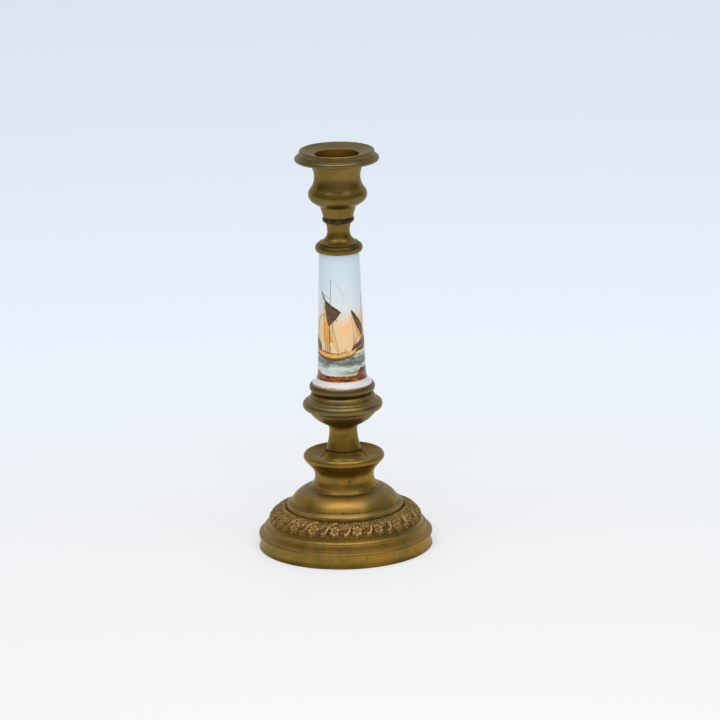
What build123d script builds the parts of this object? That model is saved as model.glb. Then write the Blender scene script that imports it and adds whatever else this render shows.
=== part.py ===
"""Candlestick: turned and cast brass pieces and a painted porcelain column, stacked on one axis.

Every piece is a body of revolution on the Z axis. One steel tie rod screws into the candle cup,
runs down through the whole stack and is drawn tight by a nut inside the hollow foot. The drip
nozzle alone is loose: its sleeve drops into the cup and lifts out to be cleaned.
Millimetres, +Z up, origin at the centre of the foot's resting face.
"""

import os

from build123d import *

os.makedirs("parts", exist_ok=True)

# Heights of the flat seats where one piece stands on the next.
FOOT_SEAT_Z = 53.6
KNOP_SEAT_Z = 74.1
RING_SEAT_Z = 85.1
PACKING_SEAT_Z = 88.0
COLUMN_FOOT_Z = 88.8
COLUMN_HEAD_Z = 163.4
CAP_CEILING_Z = 164.1
COLLAR_SEAT_Z = 178.1
CUP_SEAT_Z = 180.9
CUP_LIP_Z = 209.9
HEIGHT = 216.9

# Tie rod, its nut and its washer.
ROD_R = 3.0
ROD_HOLE_R = 3.5
THREAD_PLAY = 0.05
ROD_LOW_Z = 31.5
ROD_TIP_Z = 187.0
ROD_TIP_CHAMFER = 0.6
TAPPED_DEPTH = 7.0
NUT_ACROSS_FLATS = 10.0
NUT_HEIGHT = 5.0
NUT_CORNER_CHAMFER = 0.7
WASHER_R = 8.5
WASHER_THICK = 1.5
HUB_FACE_Z = 42.0
HUB_R = 7.0

# Foot: rim, ring mouldings, ovolo that carries the ornament, fillet, dome, scotia, dish.
FOOT_R = 46.5
FOOT_WAIST = 0.7
FOOT_BOTTOM_CHAMFER = 0.3
RIM_EDGE_Z = 7.0
RIM_TOP_R, RIM_TOP_Z = 45.8, 8.3
RIM_BULGE = 0.35
RIM_GROOVE_R, RIM_GROOVE_Z = 43.9, 9.1
BEAD_R, BEAD_Z = 43.3, 11.4
BEAD_BULGE = 0.15
CAVETTO_LOW_R, CAVETTO_LOW_Z = 42.9, 12.0
CAVETTO_HOLLOW = 0.45
OVOLO_LOW_R, OVOLO_LOW_Z = 40.8, 14.2
OVOLO_TOP_R, OVOLO_TOP_Z = 31.5, 21.4
OVOLO_BULGE = 1.35
FILLET_R, FILLET_Z = 31.3, 23.1
FILLET_TOP_R, FILLET_TOP_Z = 30.9, 23.6
FILLET_BULGE = 0.12
DOME_LOW_R, DOME_LOW_Z = 28.7, 25.5
GROOVE_WIDTH = 0.4
DOME_BULGE = 1.35
DOME_TOP_R, DOME_TOP_Z = 18.9, 32.6
SCOTIA_R, SCOTIA_Z = 15.75, 39.3
SCOTIA_TOP_R, SCOTIA_TOP_Z = 17.4, 43.8
DISH_EDGE_R, DISH_EDGE_Z = 21.1, 48.1
DISH_CREST_R, DISH_CREST_Z = 20.3, 51.6
DISH_EDGE_BULGE = 0.9
DISH_HOLLOW = 0.5
DISH_FLOOR_R, DISH_FLOOR_Z = 15.5, 48.7
BOSS_LOW_R = 12.6
BOSS_TOP_R = 9.9
BOSS_HOLLOW = 0.7

# The hollow inside the foot, from the resting ring up to the hub.
HOLLOW_LIP_R = 43.5
HOLLOW_RIM_R, HOLLOW_RIM_Z = 42.5, 5.6
HOLLOW_OVOLO_R, HOLLOW_OVOLO_Z = 35.6, 14.0
HOLLOW_FILLET_R, HOLLOW_FILLET_Z = 28.8, 18.7
HOLLOW_GROOVE_R, HOLLOW_GROOVE_Z = 26.0, 23.1
HOLLOW_DOME_R, HOLLOW_DOME_Z = 22.8, 27.1
HOLLOW_SCOTIA_R, HOLLOW_SCOTIA_Z = 16.2, 31.2
HOLLOW_THROAT_R = 12.9
HOLLOW_THROAT_LOW_Z, HOLLOW_THROAT_TOP_Z = 39.3, 44.2
HOLLOW_CEILING_R, HOLLOW_CEILING_Z = 11.5, 45.6

# Lower stem: waisted neck under a shallow bowl.
NECK_LOW_R = 9.5
NECK_WAIST_R, NECK_WAIST_Z = 7.5, 63.0
NECK_TOP_R, NECK_TOP_Z = 8.4, 67.2
NECK_HOLLOW = 0.35
BOWL_R = 17.6
BOWL_BULGE = 0.85
SPIGOT_R = 5.5
SPIGOT_LENGTH = 2.0
SPIGOT_PLAY = 0.1

# Knop: fillet, large torus and a rounded shoulder.
KNOP_FILLET_R = 18.4
KNOP_FILLET_Z = 75.6
KNOP_R, KNOP_Z = 21.3, 78.5
KNOP_GROOVE_R, KNOP_GROOVE_Z = 18.7, 80.9
SHOULDER_R, SHOULDER_Z = 17.9, 81.5
SHOULDER_TOP_R = 15.5
SHOULDER_BULGE = 0.5
KNOP_BORE_R = 12.0

# Seat ring: a torus with a recess that the column's flange stands in.
RING_LOW_R = 14.9
RING_R, RING_Z = 17.5, 88.1
RING_TOP_R, RING_TOP_Z = 16.5, 90.2
RING_RECESS_R = 16.25
RING_BORE_R = 8.0

# Porcelain column: slightly tapered tube, flaring to a flange.
COLUMN_HEAD_R = 10.7
COLUMN_SHAFT_R, COLUMN_SHAFT_Z = 12.75, 99.0
FLARE_R, FLARE_Z = 13.2, 94.1
FLANGE_R, FLANGE_Z = 16.05, 90.6
FLANGE_FOOT_R = 15.4
FLANGE_BULGE = 0.35
COLUMN_FLARE_HOLLOW = 0.45
COLUMN_THROAT_HOLLOW = 0.12
COLUMN_BORE_R = 7.6

# Packing rings between porcelain and brass.
PACKING_BORE_R = 8.2
LOWER_PACKING_R = 15.0
UPPER_PACKING_R = 10.3

# Upper stem: cap over the column's head, step and waisted neck.
CAP_SKIRT_Z = 162.2
CAP_BORE_R = 11.0
CAP_LOW_R = 11.9
CAP_R, CAP_Z = 12.6, 164.1
CAP_TOP_R, CAP_TOP_Z = 11.8, 166.0
STEP_R, STEP_Z = 10.9, 166.3
STEP_TOP_R, STEP_TOP_Z = 10.1, 167.3
STEP_BULGE = 0.25
UPPER_NECK_R, UPPER_NECK_Z = 5.95, 173.0
UPPER_NECK_TOP_R = 7.2
UPPER_FLARE_HOLLOW = 1.15

# Collar ring between upper stem and candle cup.
COLLAR_R = 8.45
COLLAR_EDGE_R = 7.8
COLLAR_BORE_R = 3.6

# Candle cup: urn shape with a flared lip.
CUP_FOOT_R = 7.95
CUP_CORNER_R, CUP_CORNER_Z = 9.7, 186.6
CUP_FOOT_HOLLOW = 0.1
BELLY_LOW_R, BELLY_LOW_Z = 13.45, 189.0
BELLY_R, BELLY_Z = 15.6, 193.0
BELLY_TOP_R, BELLY_TOP_Z = 14.52, 196.04
CUP_NECK_R, CUP_NECK_Z = 12.25, 202.4
CUP_LIP_R = 14.7
CUP_BORE_R = 11.55
CUP_FLOOR_Z = 190.0

# Drip nozzle: dished flange and a thin sleeve that holds the candle.
CANDLE_R = 11.1
SLEEVE_WALL = 0.35
SLEEVE_LOW_Z = 194.0
NOZZLE_GAP = 0.1
FLANGE_STEP_R = 15.4
FLANGE_UNDER_R, FLANGE_UNDER_Z = 21.5, 210.9
NOZZLE_RING_R, NOZZLE_RING_Z = 22.35, 212.1
NOZZLE_LEDGE_R, NOZZLE_LEDGE_Z = 20.6, 213.6
NOZZLE_LIP_R, NOZZLE_LIP_Z = 20.0, 214.0
NOZZLE_LIP_TOP_Z = 215.9
NOZZLE_CREST_R = 19.2
NOZZLE_CREST_BULGE = 0.24
NOZZLE_DISH_R, NOZZLE_DISH_Z = 12.1, 214.7
NOZZLE_DISH_HOLLOW = 0.5
MOUTH_R, MOUTH_Z = 11.7, 214.3
MOUTH_BULGE = 0.1
LEAD_IN_Z = 211.0

# Drip nozzle, the one loose piece.
sleeve_r = CANDLE_R + SLEEVE_WALL
nozzle_under_z = CUP_LIP_Z + NOZZLE_GAP
with BuildPart() as drip_nozzle:
    with BuildSketch(Plane.XZ):
        with BuildLine():
            sleeve = Polyline(
                (MOUTH_R, MOUTH_Z),
                (CANDLE_R, LEAD_IN_Z),
                (CANDLE_R, SLEEVE_LOW_Z),
                (sleeve_r, SLEEVE_LOW_Z),
                (sleeve_r, nozzle_under_z),
                (FLANGE_STEP_R, nozzle_under_z),
                (FLANGE_UNDER_R, FLANGE_UNDER_Z),
            )
            ring = ThreePointArc(
                sleeve @ 1,
                (NOZZLE_RING_R, NOZZLE_RING_Z),
                (NOZZLE_LEDGE_R, NOZZLE_LEDGE_Z),
            )
            ledge = Line(ring @ 1, (NOZZLE_LIP_R, NOZZLE_LIP_Z))
            lip_wall = Line(ledge @ 1, (NOZZLE_LIP_R, NOZZLE_LIP_TOP_Z))
            crest = SagittaArc(lip_wall @ 1, (NOZZLE_CREST_R, HEIGHT), -NOZZLE_CREST_BULGE)
            dish = SagittaArc(crest @ 1, (NOZZLE_DISH_R, NOZZLE_DISH_Z), NOZZLE_DISH_HOLLOW)
            mouth = SagittaArc(dish @ 1, sleeve @ 0, -MOUTH_BULGE)
        make_face()
    revolve(axis=Axis.Z)
drip_nozzle.part.label = "drip_nozzle"
export_step(drip_nozzle.part, "parts/drip_nozzle.step")

# Candle cup: the sleeve hangs in its bore, the tie rod screws into its foot.
with BuildPart() as candle_cup:
    with BuildSketch(Plane.XZ):
        with BuildLine():
            base = Line((0, CUP_SEAT_Z), (CUP_FOOT_R, CUP_SEAT_Z))
            cavetto = SagittaArc(base @ 1, (CUP_CORNER_R, CUP_CORNER_Z), CUP_FOOT_HOLLOW)
            underside = Line(cavetto @ 1, (BELLY_LOW_R, BELLY_LOW_Z))
            belly = ThreePointArc(underside @ 1, (BELLY_R, BELLY_Z), (BELLY_TOP_R, BELLY_TOP_Z))
            neck = TangentArc(belly @ 1, (CUP_NECK_R, CUP_NECK_Z), tangent=belly % 1)
            lip = TangentArc(neck @ 1, (CUP_LIP_R, CUP_LIP_Z), tangent=neck % 1)
            Polyline(
                lip @ 1,
                (CUP_BORE_R, CUP_LIP_Z),
                (CUP_BORE_R, CUP_FLOOR_Z),
                (0, CUP_FLOOR_Z),
                base @ 0,
            )
        make_face()
    revolve(axis=Axis.Z)
    with Locations((0, 0, CUP_SEAT_Z)):
        Cylinder(
            ROD_R + THREAD_PLAY,
            TAPPED_DEPTH,
            align=(Align.CENTER, Align.CENTER, Align.MIN),
            mode=Mode.SUBTRACT,
        )
candle_cup.part.label = "candle_cup"
export_step(candle_cup.part, "parts/candle_cup.step")

# Collar ring, threaded on the rod between cup and stem.
with BuildPart() as collar_ring:
    with BuildSketch(Plane.XZ):
        with BuildLine():
            lower = Line((COLLAR_BORE_R, COLLAR_SEAT_Z), (COLLAR_EDGE_R, COLLAR_SEAT_Z))
            edge = ThreePointArc(
                lower @ 1,
                (COLLAR_R, (COLLAR_SEAT_Z + CUP_SEAT_Z) / 2),
                (COLLAR_EDGE_R, CUP_SEAT_Z),
            )
            Polyline(edge @ 1, (COLLAR_BORE_R, CUP_SEAT_Z), lower @ 0)
        make_face()
    revolve(axis=Axis.Z)
collar_ring.part.label = "collar_ring"
export_step(collar_ring.part, "parts/collar_ring.step")

# Upper stem: its cap fits over the head of the column.
with BuildPart() as upper_stem:
    with BuildSketch(Plane.XZ):
        with BuildLine():
            skirt = Polyline(
                (ROD_HOLE_R, CAP_CEILING_Z),
                (CAP_BORE_R, CAP_CEILING_Z),
                (CAP_BORE_R, CAP_SKIRT_Z),
                (CAP_LOW_R, CAP_SKIRT_Z),
            )
            rim = ThreePointArc(skirt @ 1, (CAP_R, CAP_Z), (CAP_TOP_R, CAP_TOP_Z))
            step_foot = Line(rim @ 1, (STEP_R, STEP_Z))
            step = SagittaArc(step_foot @ 1, (STEP_TOP_R, STEP_TOP_Z), -STEP_BULGE)
            flare = SagittaArc(step @ 1, (UPPER_NECK_R, UPPER_NECK_Z), UPPER_FLARE_HOLLOW)
            neck = SagittaArc(flare @ 1, (UPPER_NECK_TOP_R, COLLAR_SEAT_Z), NECK_HOLLOW)
            Polyline(neck @ 1, (ROD_HOLE_R, COLLAR_SEAT_Z), skirt @ 0)
        make_face()
    revolve(axis=Axis.Z)
upper_stem.part.label = "upper_stem"
export_step(upper_stem.part, "parts/upper_stem.step")

# Porcelain column: a hollow tube, open at both ends, with a flange at its foot.
with BuildPart() as porcelain_column:
    with BuildSketch(Plane.XZ):
        with BuildLine():
            foot_face = Line((COLUMN_BORE_R, COLUMN_FOOT_Z), (FLANGE_FOOT_R, COLUMN_FOOT_Z))
            flange_edge = SagittaArc(foot_face @ 1, (FLANGE_R, FLANGE_Z), -FLANGE_BULGE)
            flare = SagittaArc(flange_edge @ 1, (FLARE_R, FLARE_Z), COLUMN_FLARE_HOLLOW)
            throat = SagittaArc(
                flare @ 1,
                (COLUMN_SHAFT_R, COLUMN_SHAFT_Z),
                COLUMN_THROAT_HOLLOW,
            )
            Polyline(
                throat @ 1,
                (COLUMN_HEAD_R, COLUMN_HEAD_Z),
                (COLUMN_BORE_R, COLUMN_HEAD_Z),
                foot_face @ 0,
            )
        make_face()
    revolve(axis=Axis.Z)
porcelain_column.part.label = "porcelain_column"
export_step(porcelain_column.part, "parts/porcelain_column.step")

# Packing rings: they keep the brass off the ends of the porcelain.
with BuildPart() as upper_packing:
    with BuildSketch(Plane.XY.offset(COLUMN_HEAD_Z)):
        Circle(UPPER_PACKING_R)
        Circle(PACKING_BORE_R, mode=Mode.SUBTRACT)
    extrude(amount=CAP_CEILING_Z - COLUMN_HEAD_Z)
upper_packing.part.label = "upper_packing"
export_step(upper_packing.part, "parts/upper_packing.step")

with BuildPart() as lower_packing:
    with BuildSketch(Plane.XY.offset(PACKING_SEAT_Z)):
        Circle(LOWER_PACKING_R)
        Circle(PACKING_BORE_R, mode=Mode.SUBTRACT)
    extrude(amount=COLUMN_FOOT_Z - PACKING_SEAT_Z)
lower_packing.part.label = "lower_packing"
export_step(lower_packing.part, "parts/lower_packing.step")

# Seat ring: the column's flange stands in its recess.
with BuildPart() as seat_ring:
    with BuildSketch(Plane.XZ):
        with BuildLine():
            seat = Line((RING_BORE_R, RING_SEAT_Z), (RING_LOW_R, RING_SEAT_Z))
            torus = ThreePointArc(seat @ 1, (RING_R, RING_Z), (RING_TOP_R, RING_TOP_Z))
            Polyline(
                torus @ 1,
                (RING_RECESS_R, RING_TOP_Z),
                (RING_RECESS_R, PACKING_SEAT_Z),
                (RING_BORE_R, PACKING_SEAT_Z),
                seat @ 0,
            )
        make_face()
    revolve(axis=Axis.Z)
seat_ring.part.label = "seat_ring"
export_step(seat_ring.part, "parts/seat_ring.step")

# Knop: a heavy hollow ring.
with BuildPart() as knop:
    with BuildSketch(Plane.XZ):
        with BuildLine():
            fillet_band = Polyline(
                (SPIGOT_R + SPIGOT_PLAY, KNOP_SEAT_Z),
                (BOWL_R, KNOP_SEAT_Z),
                (KNOP_FILLET_R, KNOP_FILLET_Z),
            )
            torus = ThreePointArc(
                fillet_band @ 1,
                (KNOP_R, KNOP_Z),
                (KNOP_GROOVE_R, KNOP_GROOVE_Z),
            )
            step = Line(torus @ 1, (SHOULDER_R, SHOULDER_Z))
            shoulder = SagittaArc(step @ 1, (SHOULDER_TOP_R, RING_SEAT_Z), -SHOULDER_BULGE)
            Polyline(
                shoulder @ 1,
                (KNOP_BORE_R, RING_SEAT_Z),
                (KNOP_BORE_R, KNOP_SEAT_Z + SPIGOT_LENGTH),
                (SPIGOT_R + SPIGOT_PLAY, KNOP_SEAT_Z + SPIGOT_LENGTH),
                fillet_band @ 0,
            )
        make_face()
    revolve(axis=Axis.Z)
knop.part.label = "knop"
export_step(knop.part, "parts/knop.step")

# Lower stem: spigots at both ends keep the stack in line.
with BuildPart() as lower_stem:
    with BuildSketch(Plane.XZ):
        with BuildLine():
            spigot_low = Polyline(
                (ROD_HOLE_R, FOOT_SEAT_Z - SPIGOT_LENGTH),
                (SPIGOT_R, FOOT_SEAT_Z - SPIGOT_LENGTH),
                (SPIGOT_R, FOOT_SEAT_Z),
                (NECK_LOW_R, FOOT_SEAT_Z),
            )
            neck = SagittaArc(spigot_low @ 1, (NECK_WAIST_R, NECK_WAIST_Z), NECK_HOLLOW)
            throat = SagittaArc(neck @ 1, (NECK_TOP_R, NECK_TOP_Z), NECK_HOLLOW)
            bowl = SagittaArc(throat @ 1, (BOWL_R, KNOP_SEAT_Z), -BOWL_BULGE)
            Polyline(
                bowl @ 1,
                (SPIGOT_R, KNOP_SEAT_Z),
                (SPIGOT_R, KNOP_SEAT_Z + SPIGOT_LENGTH),
                (ROD_HOLE_R, KNOP_SEAT_Z + SPIGOT_LENGTH),
                spigot_low @ 0,
            )
        make_face()
    revolve(axis=Axis.Z)
lower_stem.part.label = "lower_stem"
export_step(lower_stem.part, "parts/lower_stem.step")

# Foot: one hollow casting, open below.
with BuildPart() as foot:
    with BuildSketch(Plane.XZ):
        with BuildLine():
            rest = Polyline(
                (HOLLOW_LIP_R, 0),
                (FOOT_R - FOOT_BOTTOM_CHAMFER, 0),
                (FOOT_R, FOOT_BOTTOM_CHAMFER),
            )
            wall = SagittaArc(rest @ 1, (FOOT_R, RIM_EDGE_Z), FOOT_WAIST)
            rim = SagittaArc(wall @ 1, (RIM_TOP_R, RIM_TOP_Z), -RIM_BULGE)
            groove = Polyline(rim @ 1, (RIM_GROOVE_R, RIM_GROOVE_Z), (BEAD_R, BEAD_Z))
            bead = SagittaArc(groove @ 1, (CAVETTO_LOW_R, CAVETTO_LOW_Z), -BEAD_BULGE)
            cavetto = SagittaArc(bead @ 1, (OVOLO_LOW_R, OVOLO_LOW_Z), CAVETTO_HOLLOW)
            ovolo = SagittaArc(cavetto @ 1, (OVOLO_TOP_R, OVOLO_TOP_Z), -OVOLO_BULGE)
            fillet_step = Line(ovolo @ 1, (FILLET_R, FILLET_Z))
            fillet_edge = SagittaArc(
                fillet_step @ 1,
                (FILLET_TOP_R, FILLET_TOP_Z),
                -FILLET_BULGE,
            )
            dome_groove = Polyline(
                fillet_edge @ 1,
                (DOME_LOW_R + GROOVE_WIDTH, DOME_LOW_Z - GROOVE_WIDTH),
                (DOME_LOW_R - GROOVE_WIDTH / 2, DOME_LOW_Z - GROOVE_WIDTH / 2),
                (DOME_LOW_R, DOME_LOW_Z),
            )
            dome = SagittaArc(dome_groove @ 1, (DOME_TOP_R, DOME_TOP_Z), -DOME_BULGE)
            scotia = ThreePointArc(
                dome @ 1,
                (SCOTIA_R, SCOTIA_Z),
                (SCOTIA_TOP_R, SCOTIA_TOP_Z),
            )
            under_dish = Line(scotia @ 1, (DISH_EDGE_R, DISH_EDGE_Z))
            dish_edge = SagittaArc(
                under_dish @ 1,
                (DISH_CREST_R, DISH_CREST_Z),
                -DISH_EDGE_BULGE,
            )
            dish_wall = SagittaArc(dish_edge @ 1, (DISH_FLOOR_R, DISH_FLOOR_Z), DISH_HOLLOW)
            dish_floor = Line(dish_wall @ 1, (BOSS_LOW_R, DISH_FLOOR_Z))
            boss = SagittaArc(dish_floor @ 1, (BOSS_TOP_R, FOOT_SEAT_Z), BOSS_HOLLOW)
            Polyline(
                boss @ 1,
                (SPIGOT_R + SPIGOT_PLAY, FOOT_SEAT_Z),
                (SPIGOT_R + SPIGOT_PLAY, FOOT_SEAT_Z - SPIGOT_LENGTH),
                (ROD_HOLE_R, FOOT_SEAT_Z - SPIGOT_LENGTH),
                (ROD_HOLE_R, HUB_FACE_Z),
                (HUB_R, HUB_FACE_Z),
                (HUB_R, HOLLOW_CEILING_Z),
                (HOLLOW_CEILING_R, HOLLOW_CEILING_Z),
                (HOLLOW_THROAT_R, HOLLOW_THROAT_TOP_Z),
                (HOLLOW_THROAT_R, HOLLOW_THROAT_LOW_Z),
                (HOLLOW_SCOTIA_R, HOLLOW_SCOTIA_Z),
                (HOLLOW_DOME_R, HOLLOW_DOME_Z),
                (HOLLOW_GROOVE_R, HOLLOW_GROOVE_Z),
                (HOLLOW_FILLET_R, HOLLOW_FILLET_Z),
                (HOLLOW_OVOLO_R, HOLLOW_OVOLO_Z),
                (HOLLOW_RIM_R, HOLLOW_RIM_Z),
                rest @ 0,
            )
        make_face()
    revolve(axis=Axis.Z)
foot.part.label = "foot"
export_step(foot.part, "parts/foot.step")

# Tie rod, washer and nut.
with BuildPart() as tie_rod:
    with BuildSketch(Plane.XY.offset(ROD_LOW_Z)):
        Circle(ROD_R)
    extrude(amount=ROD_TIP_Z - ROD_LOW_Z)
    chamfer(tie_rod.edges().filter_by(GeomType.CIRCLE), length=ROD_TIP_CHAMFER)
tie_rod.part.label = "tie_rod"
export_step(tie_rod.part, "parts/tie_rod.step")

with BuildPart() as clamp_washer:
    with BuildSketch(Plane.XY.offset(HUB_FACE_Z - WASHER_THICK)):
        Circle(WASHER_R)
        Circle(ROD_HOLE_R, mode=Mode.SUBTRACT)
    extrude(amount=WASHER_THICK)
clamp_washer.part.label = "clamp_washer"
export_step(clamp_washer.part, "parts/clamp_washer.step")

nut_top_z = HUB_FACE_Z - WASHER_THICK
nut_low_z = nut_top_z - NUT_HEIGHT
with BuildPart() as clamp_nut:
    with BuildSketch(Plane.XY.offset(nut_low_z)):
        RegularPolygon(NUT_ACROSS_FLATS / 2, 6, major_radius=False)
        Circle(ROD_R + THREAD_PLAY, mode=Mode.SUBTRACT)
    extrude(amount=NUT_HEIGHT)
    with BuildSketch(Plane.XZ):
        with BuildLine():
            corner_r = NUT_ACROSS_FLATS / 3**0.5
            Polyline(
                (0, nut_low_z),
                (corner_r - NUT_CORNER_CHAMFER, nut_low_z),
                (corner_r + NUT_CORNER_CHAMFER, nut_low_z + NUT_CORNER_CHAMFER),
                (corner_r + NUT_CORNER_CHAMFER, nut_top_z - NUT_CORNER_CHAMFER),
                (corner_r - NUT_CORNER_CHAMFER, nut_top_z),
                (0, nut_top_z),
                close=True,
            )
        make_face()
    revolve(axis=Axis.Z, mode=Mode.INTERSECT)
clamp_nut.part.label = "clamp_nut"
export_step(clamp_nut.part, "parts/clamp_nut.step")
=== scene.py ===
"""The look of the brass candlestick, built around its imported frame: studio, materials, ornament
band, painted boats and the rod's thread. The studio and the camera are in metres. Everything on
the object is in millimetres until it reaches a mesh, and angles round it are 0 at the front."""

import math

import bpy
import numpy as np
from mathutils import Matrix, Vector


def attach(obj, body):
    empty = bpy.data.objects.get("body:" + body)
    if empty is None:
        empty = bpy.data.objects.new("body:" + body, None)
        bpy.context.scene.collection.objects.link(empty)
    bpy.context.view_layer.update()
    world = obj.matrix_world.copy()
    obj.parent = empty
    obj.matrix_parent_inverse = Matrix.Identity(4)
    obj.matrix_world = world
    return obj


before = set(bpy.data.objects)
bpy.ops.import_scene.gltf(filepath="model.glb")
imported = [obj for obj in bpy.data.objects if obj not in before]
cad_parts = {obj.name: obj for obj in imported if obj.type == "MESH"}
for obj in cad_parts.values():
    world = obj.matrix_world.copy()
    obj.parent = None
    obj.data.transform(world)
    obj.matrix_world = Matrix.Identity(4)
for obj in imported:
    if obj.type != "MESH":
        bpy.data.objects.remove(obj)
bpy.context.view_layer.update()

MM = 0.001
PER_METRE = 1000.0
FRONT = -90.0

# ---------------------------------------------------------------- camera
CAMERA_PLACE = (0.0, -2.300, 0.7217)
CAMERA_LENS = 223.82
CAMERA_SENSOR = 36.0
CAMERA_PITCH = math.radians(15.080)
CAMERA_PAN = math.radians(0.2436)
CAMERA_ROLL = math.radians(-1.324)


def make_camera():
    """A long lens from in front, looking down a little and rolled by a degree or so."""
    sin_pan, cos_pan = math.sin(CAMERA_PAN), math.cos(CAMERA_PAN)
    sin_pitch, cos_pitch = math.sin(CAMERA_PITCH), math.cos(CAMERA_PITCH)
    ahead = Vector((sin_pan * cos_pitch, cos_pan * cos_pitch, -sin_pitch))
    level_right = Vector((cos_pan, -sin_pan, 0.0))
    level_up = level_right.cross(ahead)
    right = level_right * math.cos(CAMERA_ROLL) + level_up * math.sin(CAMERA_ROLL)
    up = level_up * math.cos(CAMERA_ROLL) - level_right * math.sin(CAMERA_ROLL)
    data = bpy.data.cameras.new("camera")
    data.sensor_width = CAMERA_SENSOR
    data.lens = CAMERA_LENS
    camera = bpy.data.objects.new("camera", data)
    bpy.context.collection.objects.link(camera)
    turn = Matrix((right, up, -ahead)).transposed()
    camera.matrix_world = Matrix.Translation(CAMERA_PLACE) @ turn.to_4x4()
    bpy.context.scene.camera = camera


# ---------------------------------------------------------------- node helpers
class Nodes:
    """A short way to write a node tree: sockets or plain numbers go in, a socket comes out."""

    def __init__(self, tree):
        self.tree = tree

    def add(self, kind, **settings):
        node = self.tree.nodes.new(kind)
        for name, value in settings.items():
            setattr(node, name, value)
        return node

    def put(self, socket, value):
        if isinstance(value, bpy.types.NodeSocket):
            self.tree.links.new(value, socket)
        else:
            socket.default_value = value

    def math(self, operation, a, b=0.0, clamp=False):
        node = self.add("ShaderNodeMath", operation=operation, use_clamp=clamp)
        self.put(node.inputs[0], a)
        self.put(node.inputs[1], b)
        return node.outputs[0]

    def times(self, a, b):
        return self.math("MULTIPLY", a, b)

    def plus(self, a, b):
        return self.math("ADD", a, b)

    def ramp(self, value, low, high, start=0.0, end=1.0):
        node = self.add("ShaderNodeMapRange", interpolation_type="SMOOTHSTEP")
        self.put(node.inputs["Value"], value)
        self.put(node.inputs["From Min"], low)
        self.put(node.inputs["From Max"], high)
        self.put(node.inputs["To Min"], start)
        self.put(node.inputs["To Max"], end)
        return node.outputs["Result"]

    def near(self, value, centre, reach, soft):
        """1 within reach of centre, falling to 0 over soft."""
        away = self.math("ABSOLUTE", self.math("SUBTRACT", value, centre))
        return self.ramp(away, reach, reach + soft, 1.0, 0.0)

    def mix(self, factor, a, b, blend="MIX"):
        node = self.add("ShaderNodeMix", data_type="RGBA", blend_type=blend)
        self.put(node.inputs[0], factor)
        self.put(node.inputs[6], colour4(a))
        self.put(node.inputs[7], colour4(b))
        return node.outputs[2]

    def noise(self, vector, scale, detail=3.0, roughness=0.55, distortion=0.0):
        node = self.add("ShaderNodeTexNoise")
        self.put(node.inputs["Vector"], vector)
        node.inputs["Scale"].default_value = scale
        node.inputs["Detail"].default_value = detail
        node.inputs["Roughness"].default_value = roughness
        node.inputs["Distortion"].default_value = distortion
        return node.outputs["Fac"]

    def combine(self, x, y, z):
        node = self.add("ShaderNodeCombineXYZ")
        self.put(node.inputs[0], x)
        self.put(node.inputs[1], y)
        self.put(node.inputs[2], z)
        return node.outputs[0]

    def split(self, vector):
        node = self.add("ShaderNodeSeparateXYZ")
        self.put(node.inputs[0], vector)
        return node.outputs


def colour4(value):
    if isinstance(value, bpy.types.NodeSocket) or len(value) == 4:
        return value
    return (*value, 1.0)


class Turned(Nodes):
    """A new material with the object's own axis coordinates: r and z in mm, angle 0 in front."""

    def __init__(self, name):
        self.material = bpy.data.materials.new(name)
        self.material.use_nodes = True
        super().__init__(self.material.node_tree)
        self.shader = self.tree.nodes["Principled BSDF"]
        self.place = self.add("ShaderNodeTexCoord").outputs["Object"]
        self.x, self.y, z = self.split(self.place)
        self.z = self.times(z, PER_METRE)
        flat = self.plus(self.times(self.x, self.x), self.times(self.y, self.y))
        self.r = self.times(self.math("SQRT", flat), PER_METRE)
        forward = self.times(self.y, -1.0)
        self.angle = self.times(self.math("ARCTAN2", self.x, forward), math.degrees(1.0))

    def set(self, **values):
        for name, value in values.items():
            self.put(self.shader.inputs[name.replace("_", " ").title().replace("Ior", "IOR")], value)

    def bump(self, height, distance, strength, normal=None):
        node = self.add("ShaderNodeBump")
        node.inputs["Distance"].default_value = distance * MM
        node.inputs["Strength"].default_value = strength
        self.put(node.inputs["Height"], height)
        if normal is not None:
            self.put(node.inputs["Normal"], normal)
        return node.outputs["Normal"]

    def rounded(self, radius):
        """The normal with every edge softened by that radius."""
        node = self.add("ShaderNodeBevel", samples=4)
        node.inputs["Radius"].default_value = radius * MM
        return node.outputs["Normal"]

    def waver(self, noise, reach):
        """The noise as a shift either way, reach mm in all."""
        return self.times(self.math("SUBTRACT", noise, 0.5), reach)

    def spot(self, angle, z, wide, tall):
        """An oval mark that fades out wide degrees and tall mm from its angle and height."""
        across = self.times(self.math("SUBTRACT", self.angle, angle), 1.0 / wide)
        along = self.times(self.math("SUBTRACT", self.z, z), 1.0 / tall)
        away = self.plus(self.times(across, across), self.times(along, along))
        return self.ramp(away, 0.25, 1.0, 1.0, 0.0)


# ---------------------------------------------------------------- brass
WARM = (0.330, 0.182, 0.022)
WARM_GREY = (0.260, 0.180, 0.055)
CUP_WARM = (0.300, 0.180, 0.040)
KNOP_WARM = (0.275, 0.185, 0.040)
OLIVE = (0.200, 0.137, 0.021)
GREY_BRASS = (0.185, 0.145, 0.060)
RUSSET = (0.275, 0.115, 0.026)
GRIME_AND_SHADE = (0.042, 0.025, 0.004)
BRIGHT = (0.460, 0.310, 0.110)
EDGE_TINT = (0.78, 0.72, 0.56, 1.0)
BORE_REFLECTION_COLOUR = (0.330, 0.160, 0.006)
DUST_AND_SHEEN = (0.130, 0.108, 0.066)
CAST_SAND = (0.17, 0.115, 0.045)
RELIEF_SHADE = (0.090, 0.062, 0.018)
RELIEF_HIGHLIGHT = (0.420, 0.240, 0.110)
RECESS_REACH = 2.6
WORN_EDGE = 0.35

PAINTED_REFLECTION_R = 11.6
HUB_SEAM_Z = 53.6
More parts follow.
